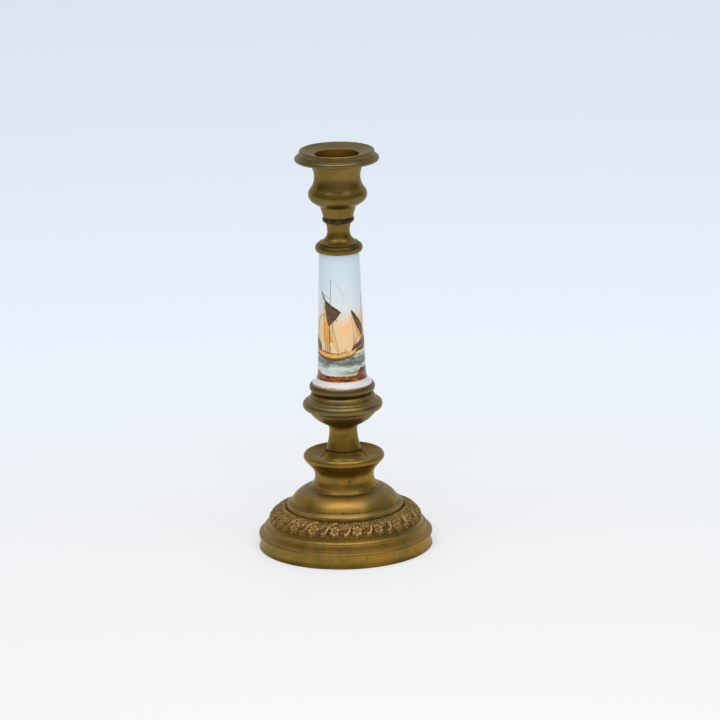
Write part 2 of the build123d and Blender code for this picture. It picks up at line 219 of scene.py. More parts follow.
# Dark marks: angle, height, half width in degrees, half height in mm, strength. A mark that is
# wider than the whole circle is a dark line all round the piece.
ALL_ROUND = 400.0
CUP_MARKS = ((-8.0, 188.2, 3.0, 0.45, 0.9),)
UPPER_STEM_MARKS = (
    (-30.0, 172.6, 16.0, 0.22, 0.9),
    (0.0, 166.3, ALL_ROUND, 1.1, 0.6),
)
LOWER_STEM_MARKS = (
    (-6.0, 66.8, 5.0, 0.5, 0.8),
    (0.0, HUB_SEAM_Z, ALL_ROUND, 0.60, 0.9),
)
FOOT_MARKS = (
    (10.0, 39.2, 3.2, 0.75, 0.9),
    (-14.0, 4.6, 1.2, 0.30, 0.9),
    (14.0, 5.2, 0.9, 0.40, 0.9),
    (36.0, 6.9, 1.4, 0.30, 0.9),
    (-2.0, 25.6, 1.6, 0.40, 0.9),
    (0.0, 33.0, ALL_ROUND, 1.3, 0.40),
    (0.0, 24.7, ALL_ROUND, 0.50, 0.45),
    (0.0, HUB_SEAM_Z, ALL_ROUND, 0.50, 0.8),
)


def brass(
    name,
    warm=WARM,
    olive=OLIVE,
    shade=1.0,
    dusty_sheen=0.6,
    deep=0.66,
    marks=(),
    reflection_radius=0.0,
    cast=False,
    relief=False,
):
    """Old brass. shade scales its tone, and as it is set from piece to piece it also paints in how much
    light each piece gets: painted light and shade. The argument after it sets the dust on faces turned
    up, which also paints their greyish sheen, and deep sets the darkening in recesses, partly grime and
    partly painted shade. Within the radius given for the bore it is painted a saturated amber, a
    painted reflection of the bore's walls. cast roughens the hollow of the foot, and relief shades the
    ornament by its height, with painted shade on its ground and painted highlight on its tops."""
    m = Turned(name)
    blotch = m.ramp(m.noise(m.place, 60.0, 5.0, 0.65), 0.40, 0.60)
    russet = m.ramp(m.noise(m.place, 105.0, 6.0, 0.65, 0.4), 0.50, 0.68)
    fine = m.noise(m.place, 900.0, 5.0, 0.65)
    turning = m.combine(m.times(m.r, 2.2), m.times(m.angle, 0.012), m.times(m.z, 2.2))
    streaks = m.noise(turning, 1.0, 4.0, 0.7)

    colour = m.mix(blotch, olive, warm)
    colour = m.mix(m.times(russet, 0.62), colour, RUSSET)
    level = m.plus(m.times(streaks, 0.34), m.times(fine, 0.22))
    level = m.ramp(level, 0.08, 0.50, 0.72 * shade, 1.20 * shade)
    tone = m.combine(level, level, level)
    colour = m.mix(1.0, colour, tone, "MULTIPLY")

    # Darkening in recesses, partly grime and partly painted shade.
    hollow = m.add("ShaderNodeAmbientOcclusion", samples=6)
    hollow.inputs["Distance"].default_value = RECESS_REACH * MM
    open_sky = hollow.outputs["AO"]
    recess = m.ramp(open_sky, 0.35, 0.93, 1.0, 0.0)
    colour = m.mix(m.times(recess, deep), colour, GRIME_AND_SHADE)

    face = m.add("ShaderNodeNewGeometry").outputs["Normal"]
    # Dust on faces turned up, which also paints their greyish sheen from the light overhead: dust and
    # painted sheen.
    facing_up = m.ramp(m.split(face)[2], 0.45, 0.95)
    dust_and_sheen = m.times(facing_up, m.ramp(m.noise(m.place, 75.0, 5.0, 0.65), 0.25, 0.75, 0.30, 0.85))
    colour = m.mix(m.times(dust_and_sheen, dusty_sheen), colour, DUST_AND_SHEEN)

    rounded = m.rounded(WORN_EDGE)
    turn = m.add("ShaderNodeVectorMath", operation="DOT_PRODUCT")
    m.put(turn.inputs[0], rounded)
    m.put(turn.inputs[1], face)
    edge = m.ramp(m.math("SUBTRACT", 1.0, turn.outputs["Value"]), 0.004, 0.09)
    rubbed = m.times(edge, m.ramp(open_sky, 0.75, 0.97))
    rubbed = m.times(rubbed, m.ramp(m.noise(m.place, 160.0, 3.0), 0.35, 0.62))
    colour = m.mix(m.times(rubbed, 0.75), colour, BRIGHT)

    pits = m.ramp(m.noise(m.place, 620.0, 2.0, 0.4), 0.735, 0.775)
    colour = m.mix(m.times(pits, 0.75), colour, GRIME_AND_SHADE)
    # Inside the bore a saturated amber over the other colours: painted reflection of the bore's walls in
    # each other.
    if reflection_radius:
        colour = m.mix(m.ramp(m.r, reflection_radius, reflection_radius + 0.3, 0.85, 0.0), colour, BORE_REFLECTION_COLOUR)
    for *where, strength in marks:
        colour = m.mix(m.times(m.spot(*where), strength), colour, GRIME_AND_SHADE)

    rough = m.plus(0.26, m.times(fine, 0.18))
    rough = m.plus(rough, m.times(dust_and_sheen, 0.10))
    rough = m.plus(rough, m.times(recess, 0.25))
    rough = m.plus(rough, m.times(blotch, 0.05))
    height = m.plus(m.times(streaks, 0.6), m.times(fine, 0.5))
    if cast:
        inside = cast_side(m, face)
        sand = m.noise(m.place, 480.0, 6.0, 0.7)
        colour = m.mix(m.times(inside, 0.8), colour, m.mix(sand, GRIME_AND_SHADE, CAST_SAND))
        rough = m.plus(rough, m.times(inside, 0.28))
        height = m.plus(height, m.times(m.times(inside, sand), 9.0))
    if relief:
        raised = m.add("ShaderNodeAttribute", attribute_name="raised").outputs["Fac"]
        # Painted shade on the ornament's ground and painted highlight on its raised tops.
        colour = m.mix(m.ramp(raised, 0.05, 0.55, 0.50, 0.0), colour, RELIEF_SHADE)
        colour = m.mix(m.ramp(raised, 0.75, 1.35, 0.0, 0.60), colour, RELIEF_HIGHLIGHT)
        rough = m.plus(rough, m.ramp(raised, 0.05, 0.6, 0.18, 0.0))
    m.set(base_color=colour, roughness=rough, metallic=m.ramp(dust_and_sheen, 0.0, 1.0, 0.96, 0.72))
    m.set(specular_tint=EDGE_TINT, coat_weight=0.18, coat_roughness=0.18, coat_ior=1.5)
    m.set(normal=m.bump(height, 0.02, 0.35, rounded))
    return m.material


# The cast hollow lies within this height and radius. The dish and the scotia, which stand outside
# the hub above it, are turned, and so is the face that the foot rests on.
HOLLOW_TOP_Z = 46.5
HOLLOW_R = 43.6
DISH_LOW_Z = 36.0
HUB_R = 14.0
REST_FACE_Z = 0.2


def cast_side(m, face):
    """1 on the rough cast hollow under the foot, 0 on every turned outside face."""
    nx, ny, nz = m.split(face)
    outward = m.plus(m.times(nx, m.x), m.times(ny, m.y))
    turned_in = m.math("LESS_THAN", outward, 0.0)
    facing_down = m.math("LESS_THAN", nz, -0.2)
    either = m.math("MAXIMUM", turned_in, facing_down)
    within = m.times(m.math("LESS_THAN", m.z, HOLLOW_TOP_Z), m.math("LESS_THAN", m.r, HOLLOW_R))
    dish = m.times(m.math("GREATER_THAN", m.z, DISH_LOW_Z), m.math("GREATER_THAN", m.r, HUB_R))
    above_rest = m.math("GREATER_THAN", m.z, REST_FACE_Z)
    clear = m.times(m.math("SUBTRACT", 1.0, dish), above_rest)
    return m.times(either, m.times(within, clear))


# ---------------------------------------------------------------- other materials
def dark_brass(name):
    """Brass gone nearly black, with browner patches."""
    m = Turned(name)
    fine = m.noise(m.place, 700.0, 6.0, 0.7)
    patch = m.ramp(m.noise(m.place, 260.0, 4.0), 0.42, 0.66)
    colour = m.mix(patch, (0.035, 0.031, 0.016), (0.105, 0.066, 0.028))
    m.set(base_color=colour, metallic=0.85, roughness=m.ramp(fine, 0.3, 0.7, 0.38, 0.62))
    m.set(coat_weight=0.05, coat_roughness=0.35)
    m.set(normal=m.bump(m.plus(fine, patch), 0.15, 0.6, m.rounded(0.5)))
    return m.material


def steel(name):
    """Dull steel with patches of rust."""
    m = Turned(name)
    fine = m.noise(m.place, 800.0, 5.0, 0.6)
    rust = m.ramp(m.noise(m.place, 210.0, 5.0, 0.65), 0.50, 0.66)
    colour = m.mix(rust, (0.24, 0.23, 0.22), (0.105, 0.048, 0.022))
    m.set(base_color=colour, metallic=m.ramp(rust, 0.0, 1.0, 0.95, 0.25))
    m.set(roughness=m.plus(m.times(rust, 0.35), m.times(fine, 0.45)))
    m.set(normal=m.bump(m.plus(fine, m.times(rust, 0.5)), 0.06, 0.5))
    return m.material


def leather(name):
    """Old leather, darkened in patches."""
    m = Turned(name)
    grain = m.noise(m.place, 1500.0, 5.0, 0.7)
    stain = m.noise(m.place, 180.0, 4.0, 0.6)
    colour = m.mix(m.ramp(stain, 0.35, 0.65), (0.035, 0.018, 0.010), (0.110, 0.058, 0.028))
    m.set(base_color=colour, roughness=m.ramp(grain, 0.3, 0.7, 0.62, 0.85))
    m.set(normal=m.bump(grain, 0.08, 0.7))
    return m.material


SKY_TOP = (0.625, 0.745, 0.825)
SKY_LOW = (0.745, 0.785, 0.800)
PEACH = (0.850, 0.580, 0.310)
SUN = (0.950, 0.520, 0.200)
SEA_PALE = (0.640, 0.720, 0.680)
SEA_GREY = (0.105, 0.110, 0.065)
SEA_GREEN = (0.230, 0.270, 0.100)
SHORE = (0.080, 0.018, 0.003)
SHORE_GOLD = (0.420, 0.120, 0.007)
SHORE_DARK = (0.040, 0.016, 0.006)
RIM_WHITE = (0.650, 0.645, 0.640)
RED_LINE = (0.400, 0.035, 0.035)
HORIZON_Z = 107.4
SUN_Z = 122.8
SUN_ANGLE = 12.0
SHORE_Z = 96.6
NEAR_HILL_ANGLE = 64.0
FAR_HILL_ANGLE = -95.0
RIM_Z = 93.1
RED_LINE_Z = 90.62


def porcelain(name):
    """Thin washes of colour under a clear glaze: sky, evening glow, sea, shore and a white foot."""
    m = Turned(name)
    cloud = m.noise(m.combine(m.times(m.angle, 0.055), 0.0, m.times(m.z, 0.16)), 1.0, 4.0, 0.6)
    drift = m.waver(cloud, 14.0)
    high = m.plus(m.z, drift)
    colour = m.mix(m.ramp(high, 128.0, 154.0), SKY_LOW, SKY_TOP)
    colour = m.mix(m.ramp(high, 121.0, 136.0, 1.0, 0.0), colour, PEACH)
    side = m.plus(m.math("ABSOLUTE", m.math("SUBTRACT", m.angle, SUN_ANGLE)), drift)
    glow = m.times(m.ramp(side, 1.0, 24.0, 1.0, 0.0), m.near(m.z, SUN_Z, 0.5, 6.0))
    colour = m.mix(m.times(glow, 0.62), colour, SUN)

    swell = m.combine(m.times(m.angle, 0.035), 0.0, m.times(m.z, 0.50))
    waves = m.noise(swell, 1.0, 5.0, 0.65, 0.8)
    sea = m.mix(m.ramp(waves, 0.40, 0.62), SEA_GREY, SEA_PALE)
    sea = m.mix(m.ramp(m.z, 98.5, 103.5, 0.85, 0.0), sea, SEA_PALE)
    shadow = m.plus(m.z, m.waver(waves, 7.0))
    sea = m.mix(m.times(m.near(shadow, 104.6, 0.6, 2.2), 0.75), sea, SEA_GREY)
    weed = m.times(m.near(shadow, 98.0, 0.4, 1.6), m.ramp(m.angle, -25.0, 25.0))
    sea = m.mix(weed, sea, SEA_GREEN)
    horizon = m.plus(m.z, m.waver(waves, 3.0))
    colour = m.mix(m.ramp(horizon, HORIZON_Z, HORIZON_Z + 1.2, 1.0, 0.0), colour, sea)

    near_hill = m.math("SUBTRACT", m.angle, NEAR_HILL_ANGLE)
    near_hill = m.math("COSINE", m.times(near_hill, math.radians(1.0)))
    far_hill = m.math("SUBTRACT", m.angle, FAR_HILL_ANGLE)
    far_hill = m.math("COSINE", m.times(far_hill, math.radians(1.0)))
    rise = m.times(m.ramp(near_hill, 0.88, 0.985), 3.6)
    rise = m.plus(rise, m.times(m.math("POWER", m.math("MAXIMUM", far_hill, 0.0), 5.0), 2.6))
    rough_edge = m.noise(m.combine(m.times(m.angle, 0.12), 0.0, m.times(m.z, 0.3)), 1.0, 4.0, 0.7)
    top = m.plus(m.plus(SHORE_Z, rise), m.waver(rough_edge, 2.0))
    depth = m.math("SUBTRACT", top, m.z)
    strokes = m.combine(m.times(m.angle, 0.05), 1.7, m.times(m.z, 0.55))
    strokes = m.noise(strokes, 1.0, 5.0, 0.65, 0.6)
    earth = m.mix(m.ramp(strokes, 0.38, 0.68), SHORE, SHORE_GOLD)
    crown = m.times(m.ramp(rise, 1.6, 3.0), m.ramp(depth, 0.6, 2.6, 1.0, 0.0))
    earth = m.mix(m.times(crown, 0.85), earth, SHORE_DARK)
    colour = m.mix(m.ramp(depth, -0.15, 0.35), colour, earth)

    rim = m.plus(m.z, m.waver(rough_edge, 0.8))
    colour = m.mix(m.ramp(rim, RIM_Z, RIM_Z + 0.5, 1.0, 0.0), colour, RIM_WHITE)
    red = m.times(m.near(m.z, RED_LINE_Z, 0.10, 0.16), m.ramp(m.angle, -12.0, 2.0, 1.0, 0.0))
    worn = m.ramp(rough_edge, 0.36, 0.48)
    red = m.times(red, m.times(worn, m.ramp(m.angle, -120.0, -80.0)))
    colour = m.mix(m.times(red, 0.9), colour, RED_LINE)

    craze = m.noise(m.place, 500.0, 3.0)
    m.set(base_color=colour, roughness=m.ramp(craze, 0.3, 0.7, 0.16, 0.24))
    m.set(coat_weight=0.12, coat_roughness=0.06, specular_ior_level=0.3)
    m.set(normal=m.bump(m.noise(m.place, 130.0, 2.0), 0.05, 0.25))
    return m.material


def enamel(name):
    """Overglaze paint: the colour comes with the strokes, with the brush's unevenness on top."""
    m = Turned(name)
    paint = m.add("ShaderNodeAttribute", attribute_name="paint").outputs["Color"]
    brush = m.noise(m.place, 1100.0, 4.0, 0.7)
    pale = m.ramp(brush, 0.3, 0.7, 0.72, 1.25)
    colour = m.mix(1.0, paint, m.combine(pale, pale, pale), "MULTIPLY")
    m.set(base_color=colour, roughness=m.ramp(brush, 0.3, 0.7, 0.22, 0.42))
    m.set(coat_weight=0.08, coat_roughness=0.10)
    m.set(normal=m.bump(brush, 0.03, 0.4))
    return m.material


# ---------------------------------------------------------------- ornament band
OVOLO_LOW = (40.8, 14.2)
OVOLO_TOP = (31.5, 21.4)
OVOLO_BULGE = 1.35
REPEATS = 20
REPEAT_DEGREES = 360.0 / REPEATS
BAND_COLUMNS = 1200
BAND_ROWS = 58
BAND_LIFT = 0.07
BAND_SUNK = 0.12
BAND_BACK = 0.5
BAND_LOW_FADE = 0.9
BAND_TOP_FADE = 0.35
GRAIN_SEED = 11
GRAIN_HEIGHT = 0.018
ROSETTE_ANGLE = 9.0
ROSETTE_PLACE = (0.1, 4.6)
ROSETTE_STRETCH = 1.18
ROSETTE_CLEARANCE = 3.7
PETALS = 6


def ovolo_section(count):
    """Points of the moulding's section from its lower to its upper edge, with outward normals."""
    (r0, z0), (r1, z1) = OVOLO_LOW, OVOLO_TOP
    chord = math.hypot(r1 - r0, z1 - z0)
    radius = (chord * chord / 4 + OVOLO_BULGE**2) / (2 * OVOLO_BULGE)
    out_r, out_z = (z1 - z0) / chord, -(r1 - r0) / chord
    centre_r = (r0 + r1) / 2 - out_r * (radius - OVOLO_BULGE)
    centre_z = (z0 + z1) / 2 - out_z * (radius - OVOLO_BULGE)
    start = math.atan2(z0 - centre_z, r0 - centre_r)
    end = math.atan2(z1 - centre_z, r1 - centre_r)
    turn = np.linspace(start, end, count)
    normals = np.stack([np.cos(turn), np.sin(turn)], axis=1)
    points = np.array([centre_r, centre_z]) + radius * normals
    return points, normals, radius * abs(end - start)


def bump_of(distance, reach):
    """A rounded lump, 1 in its middle and 0 at reach."""
    return np.sqrt(np.clip(1.0 - (distance / reach) ** 2, 0.0, 1.0))


def ridge(x, y, path, widths, heights):
    """A rounded ridge along a path of points, tapering in width and height."""
    best = np.zeros_like(x)
    for (ax, ay), (bx, by), w0, w1, h0, h1 in zip(
        path, path[1:], widths, widths[1:], heights, heights[1:]
    ):
        dx, dy = bx - ax, by - ay
        share = np.clip(((x - ax) * dx + (y - ay) * dy) / (dx * dx + dy * dy), 0.0, 1.0)
        distance = np.hypot(x - ax - share * dx, y - ay - share * dy)
        lump = bump_of(distance, w0 + (w1 - w0) * share) * (h0 + (h1 - h0) * share)
        best = np.maximum(best, lump)
    return best


def smooth_path(points, steps=8):
    """A Catmull-Rom curve through the points."""
    pts = np.array([points[0], *points, points[-1]], dtype=float)
    out = []
    for i in range(1, len(pts) - 2):
        p0, p1, p2, p3 = pts[i - 1 : i + 3]
        for s in np.linspace(0.0, 1.0, steps, endpoint=False):
            out.append(
                0.5
                * (
                    2 * p1
                    + (p2 - p0) * s
                    + (2 * p0 - 5 * p1 + 4 * p2 - p3) * s * s
                    + (3 * p1 - p0 - 3 * p2 + p3) * s**3
                )
            )
    out.append(pts[-2])
    return out


def foliage(x, y, wobble):
    """Height in mm of one repeat: a rosette, a leaf that sweeps over it, and a veined ground."""
    rosette_x = x - ROSETTE_PLACE[0]
    rosette_y = (y - ROSETTE_PLACE[1]) / ROSETTE_STRETCH
    from_rosette = np.hypot(rosette_x, rosette_y)

    sweep = x + 0.06 * (y - 4.0) ** 2 - 0.95 * y
    veins = 0.5 + 0.5 * np.cos(2 * math.pi * sweep / 1.7 + 0.9 * wobble)
    uneven = 0.55 + 0.45 * np.sin(2.1 * x + 1.3 * y + 2.0 * wobble) ** 2
    upper = np.clip((y - 5.0) / 2.0, 0.0, 1.0) * np.clip((12.4 - y) / 0.8, 0.0, 1.0)
    clear = np.clip((from_rosette - ROSETTE_CLEARANCE) / 0.5, 0.0, 1.0)
    height = 0.95 * uneven * veins**0.9 * upper * clear

    leaf = smooth_path([(-6.5, 2.5), (-5.3, 3.0), (-4.2, 4.6), (-3.5, 6.6), (-2.2, 8.9), (0.6, 10.9)])
    n = len(leaf)
    widths = np.interp(np.linspace(0, 1, n), [0, 0.12, 0.35, 0.7, 1], [1.60, 1.50, 1.10, 1.10, 0.75])
    heights = np.interp(np.linspace(0, 1, n), [0, 0.15, 0.6, 1], [1.25, 1.25, 1.25, 0.95])
    height = np.maximum(height, ridge(x, y, leaf, widths, heights) * (1 + 0.06 * wobble))

    curl = smooth_path([(1.2, 9.9), (3.0, 9.0), (4.1, 7.4), (3.7, 5.9)])
    n = len(curl)
    widths = np.linspace(0.50, 0.80, n)
    heights = np.linspace(0.60, 1.00, n)
    height = np.maximum(height, ridge(x, y, curl, widths, heights))
    bud = np.hypot(x - 4.2, y - 6.0)
    height = np.maximum(height, 1.05 * bump_of(bud, 0.95))

    for petal in range(PETALS):
        turn = np.radians(360.0 / PETALS * petal + 18.0 + 6.0 * wobble)
        cos, sin = np.cos(turn), np.sin(turn)
        along = rosette_x * cos + rosette_y * sin - 2.05
        across = rosette_y * cos - rosette_x * sin
        lump = bump_of(np.hypot(along / 1.48, across / 1.22), 1.0)
        groove = 0.30 * np.exp(-((across / 0.26) ** 2)) * (along > -1.0)
        height = np.maximum(height, lump * (1.32 - groove))
    return np.maximum(height, 1.55 * bump_of(from_rosette, 0.90))


def mesh_object(name, verts, faces, smooth=True):
    """A new object in the scene, from points in metres."""
    mesh = bpy.data.meshes.new(name)
    mesh.from_pydata([tuple(v) for v in verts], [], [tuple(f) for f in faces])
    mesh.validate()
    mesh.update()
    if smooth:
        mesh.polygons.foreach_set("use_smooth", [True] * len(mesh.polygons))
    piece = bpy.data.objects.new(name, mesh)
    bpy.context.collection.objects.link(piece)
    return piece


def ornament_band(material):
    """The cast band in relief, a closed skin that stands on the foot's plain ovolo moulding."""
    points, normals, length = ovolo_section(BAND_ROWS)
    angles = np.linspace(0.0, 360.0, BAND_COLUMNS, endpoint=False)
    along = np.linspace(0.0, length, BAND_ROWS)
    turn = np.radians(angles + FRONT)
    cell = (angles - ROSETTE_ANGLE + REPEAT_DEGREES / 2) / REPEAT_DEGREES
    number = np.floor(cell)
    local = (cell - number - 0.5) * math.radians(REPEAT_DEGREES)
    wobble = np.sin(number * 2.4)[:, None]
    x = local[:, None] * points[None, :, 0]
    y = np.repeat(along[None, :], BAND_COLUMNS, axis=0)
    width = math.radians(REPEAT_DEGREES) * points[None, :, 0]

    # Neighbouring repeats reach into this one, and the joins between shapes are then softened.
    height = np.zeros_like(x)
    for shift in (-1, 0, 1):
        height = np.maximum(height, foliage(x + shift * width, y, wobble))
    height = (2 * height + np.roll(height, 1, 0) + np.roll(height, -1, 0)) / 4
    height[:, 1:-1] = (2 * height[:, 1:-1] + height[:, :-2] + height[:, 2:]) / 4
    grain = np.random.default_rng(GRAIN_SEED).normal(0.0, GRAIN_HEIGHT, height.shape)
    border = np.clip(np.minimum(y / BAND_LOW_FADE, (length - y) / BAND_TOP_FADE), 0.0, 1.0)
    raised = height * border
    lift = BAND_LIFT + raised + grain * border
    lift[:, 0] = lift[:, -1] = -BAND_SUNK

    # Both edges dive into the foot, and a ring of points behind each closes the skin there.
    r = points[None, :, 0] + normals[None, :, 0] * lift
    z = points[None, :, 1] + normals[None, :, 1] * lift
    cos, sin = np.cos(turn)[:, None], np.sin(turn)[:, None]
    verts = np.stack([r * cos, r * sin, z], axis=2) * MM
    back = []
    for row in (0, -1):
        back_r, back_z = points[row] - normals[row] * BAND_BACK
        ring = [back_r * np.cos(turn), back_r * np.sin(turn), np.full_like(turn, back_z)]
        back.append(np.stack(ring, axis=1) * MM)
    verts = np.concatenate([back[0][:, None], verts, back[1][:, None]], axis=1)
    rows = BAND_ROWS + len(back)
    faces = []
    for i in range(BAND_COLUMNS):
        a, b = i * rows, (i + 1) % BAND_COLUMNS * rows
        for j in range(rows):
            k = (j + 1) % rows
            faces.append((a + j, b + j, b + k, a + k))
    piece = mesh_object("ornament_band", verts.reshape(-1, 3), faces)
    shade = np.zeros((BAND_COLUMNS, rows))
    shade[:, 1:-1] = raised
    field = piece.data.attributes.new("raised", "FLOAT", "POINT")
    field.data.foreach_set("value", shade.reshape(-1))
    piece.data.materials.append(material)
    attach(piece, "stand")


# ---------------------------------------------------------------- painted boats
SHAFT_LOW = (12.75, 99.0)
SHAFT_TOP = (10.70, 163.4)
BROWN = (0.066, 0.034, 0.010)
UMBER = (0.130, 0.068, 0.020)
AMBER = (0.760, 0.330, 0.030)
GOLD = (0.860, 0.480, 0.075)
RUST = (0.300, 0.085, 0.012)
INK = (0.030, 0.022, 0.018)
GREY = (0.180, 0.170, 0.160)
ROSE = (0.760, 0.430, 0.290)
PENNANT = (0.66, 0.25, 0.14)
FIRST_LAYER = 0.020
LAYER_STEP = 0.012
PAINT_SUNK = -0.05
# Across a brush line: the share of its width, and whether that point is raised to its layer.
BRUSH_SECTION = ((-0.5, False), (-0.42, True), (0.42, True), (0.5, False))
FIELD_STEP = 0.5
FIELD_FRONT_POINTS = 14
FIELD_BACK_POINTS = 6


def blended(colour, end_colour, share):
    """The colour at that share of the way to the end colour."""
    return [c0 + (c1 - c0) * share for c0, c1 in zip(colour, end_colour)]


def shaft_radius(z):
    """The radius of the column's tapered shaft at that height."""
    share = (z - SHAFT_LOW[1]) / (SHAFT_TOP[1] - SHAFT_LOW[1])
    return SHAFT_LOW[0] + share * (SHAFT_TOP[0] - SHAFT_LOW[0])


class Painting:
    """Gathers strokes and fields of paint on the column's shaft into one mesh."""

    def __init__(self, name):
        self.name = name
        self.verts = []
        self.faces = []
        self.colours = []
        self.layer = FIRST_LAYER

    def vertex(self, degrees, z, lift, colour):
        """Adds a point, lifted off the glaze by lift, and says its number."""
        r = shaft_radius(z) + lift
        turn = math.radians(degrees + FRONT)
        self.verts.append((r * math.cos(turn) * MM, r * math.sin(turn) * MM, z * MM))
        self.colours.append((*colour, 1.0))
        return len(self.verts) - 1

    def stroke(self, path, widths, colour, end_colour=None):
        """A brush line through (degrees, height) points; widths are in mm."""
        end_colour = end_colour or colour
        line = np.array(smooth_path(path, 6))
        count = len(line)
        wide = np.interp(np.linspace(0, 1, count), np.linspace(0, 1, len(widths)), widths)
        scale = np.array([[math.radians(1.0) * shaft_radius(p[1]), 1.0] for p in line])
        flat = line * scale
        ahead = np.gradient(flat, axis=0)
        ahead /= np.linalg.norm(ahead, axis=1)[:, None] + 1e-9
        side = np.stack([-ahead[:, 1], ahead[:, 0]], axis=1)
        rings = []
        for i in range(count):
            shade = blended(colour, end_colour, i / (count - 1))
            ring = []
            for across, raised in BRUSH_SECTION:
                spot = (flat[i] + side[i] * across * wide[i]) / scale[i]
                lift = self.layer if raised else PAINT_SUNK
                ring.append(self.vertex(spot[0], spot[1], lift, shade))
            rings.append(ring)
        self.skin(rings)

    def skin(self, rings):
        """A closed skin over rings of points, with a cap at each end."""
        for a, b in zip(rings, rings[1:]):
            for j in range(len(a)):
                k = (j + 1) % len(a)
                self.faces.append((a[j], a[k], b[k], b[j]))
        self.faces.append(tuple(reversed(rings[0])))
        self.faces.append(tuple(rings[-1]))

    def field(self, rows, low_colour, high_colour):
        """A filled shape given by (height, left degrees, right degrees) rows, lowest first."""
        heights, lefts, rights = zip(*rows)
        low, high = heights[0], heights[-1]
        count = max(2, int((high - low) / FIELD_STEP))
        rings = []
        for z in np.linspace(low, high, count + 1):
            left = np.interp(z, heights, lefts)
            right = np.interp(z, heights, rights)
            shade = blended(low_colour, high_colour, (z - low) / (high - low))
            ring = []
            for degrees in np.linspace(left, right, FIELD_FRONT_POINTS):
                ring.append(self.vertex(degrees, z, self.layer, shade))
            for degrees in np.linspace(right, left, FIELD_BACK_POINTS):
                ring.append(self.vertex(degrees, z, PAINT_SUNK, shade))
            rings.append(ring)
        self.skin(rings)

    def next_layer(self):
        """Later paint lies over what is there, clear of it."""
        self.layer += LAYER_STEP

    def finish(self, material):
        piece = mesh_object(self.name, self.verts, self.faces, smooth=False)
        paint = piece.data.color_attributes.new("paint", "FLOAT_COLOR", "POINT")
        paint.data.foreach_set("color", np.array(self.colours, dtype=np.float32).reshape(-1))
        piece.data.materials.append(material)
        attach(piece, "stand")


def near_boat(material):
    """The larger boat, left of the front: a dark lug sail with a gold luff over a long hull."""
    p = Painting("boat_near")
    gold_sail = [(114.8, -46, -20), (118, -47, -27), (124, -47, -32), (130, -46, -37), (136.6, -45, -43)]
    p.field(gold_sail, AMBER, GOLD)
    p.next_layer()
    dark_sail_low = [(123.8, -34, -29), (126.0, -37, -20), (128.0, -39, -10), (130.0, -41, -3)]
    dark_sail_top = [(131.4, -42, 1), (133.2, -43, -9), (135.2, -43.5, -26), (137.6, -44, -42)]
    p.field(dark_sail_low + dark_sail_top, UMBER, BROWN)
    stern = [(109.4, -84, -58), (111.6, -88, -56), (114.0, -92, -60), (116.6, -96, -74)]
    p.field(stern, BROWN, UMBER)
    keel = [(-84, 108.6), (-60, 106.8), (-36, 105.7), (-8, 105.5), (20, 107.0), (44, 109.8)]
    p.stroke(keel, [0.8, 1.3, 1.5, 1.4, 1.0, 0.5], BROWN, UMBER)
    p.next_layer()
    planks = [(-82, 110.8), (-62, 108.6), (-36, 107.5), (-8, 107.3), (20, 108.7), (42, 111.0)]
    p.stroke(planks, [0.9, 1.8, 2.2, 2.1, 1.6, 0.6], AMBER, GOLD)
    p.next_layer()
    rail = [(-82, 112.6), (-60, 110.2), (-34, 109.0), (-6, 108.8), (18, 110.2)]
    p.stroke(rail, [0.6, 0.9, 0.8, 0.6, 0.2], RUST)
    p.stroke([(-74, 108.6), (-44, 106.6), (-10, 106.4), (20, 107.8)], [0.3, 0.6, 0.6, 0.3], RUST)
    p.stroke([(-56, 108.6), (-36, 107.6), (-14, 107.4), (10, 108.0)], [0.2, 0.5, 0.5, 0.2], GOLD)
    posts = ((-42, 109.6, 115.0), (-36, 109.2, 115.0), (-32, 109.0, 114.8), (-29, 109.0, 113.4))
    for turn, low, high in posts:
        p.stroke([(turn, low), (turn + 0.6, high)], [0.40, 0.30], INK)
    mast = [(-30, 114.0), (-29, 128), (-27, 140), (-25.5, 149.4)]
    p.stroke(mast, [0.42, 0.40, 0.34, 0.16], BROWN, GREY)
    yard = [(-56, 142.2), (-50, 139.4), (-40, 136.0), (-22, 133.6), (3, 131.2)]
    p.stroke(yard, [0.24, 0.60, 0.66, 0.50, 0.20], INK)
    long_pennant = [(-25, 148.0), (-12, 147.0), (-2, 144.2), (7, 140.0), (9.5, 135.6)]
    p.stroke(long_pennant, [0.16, 0.24, 0.24, 0.20, 0.12], ROSE)
    p.stroke([(-56, 142.2), (-52, 137.0), (-47, 131.0)], [0.12, 0.18, 0.12], GREY)
    backstay = [(-46, 129.8), (-58, 128.4), (-68, 125.4), (-74, 120.0), (-77, 113.0)]
    p.stroke(backstay, [0.18, 0.40, 0.42, 0.34, 0.20], UMBER)
    luff = [(-47, 136.0), (-48, 128.0), (-47.5, 120.0), (-46, 114.6)]
    p.stroke(luff, [0.20, 0.28, 0.30, 0.20], RUST)
    p.stroke([(-26, 127.0), (-16, 119.0), (-6, 111.0)], [0.12, 0.14, 0.12], UMBER)
    p.stroke([(-30, 124.0), (-25, 118.0), (-10, 110.0)], [0.12, 0.20, 0.12], UMBER)
    p.stroke([(-1, 131.0), (-16, 127.0), (-21, 122.0), (-8, 110.4)], [0.12, 0.12, 0.12, 0.10], UMBER)
    p.stroke([(-12, 128.4), (-22, 124.0), (-20, 116.0)], [0.10, 0.14, 0.10], RUST)
    p.stroke([(-52, 137.0), (-46, 140.0), (-30, 138.4)], [0.14, 0.22, 0.14], GREY)
    p.stroke([(-58, 140.4), (-50, 141.0), (-44, 138.2)], [0.10, 0.16, 0.10], INK)
    for turn, top in ((-7, 110.6), (2, 110.0), (9, 111.6), (15, 110.4)):
        p.stroke([(turn, 108.8), (turn + 0.8, top)], [0.34, 0.16], INK)
    for number in range(11):
        start = -42 + 2.6 * number
        hatch = [(start, 136.4 - 0.52 * number), (start + 6, 130.4 - 0.40 * number)]
        p.stroke(hatch, [0.10, 0.26], RUST, INK)
    p.finish(material)


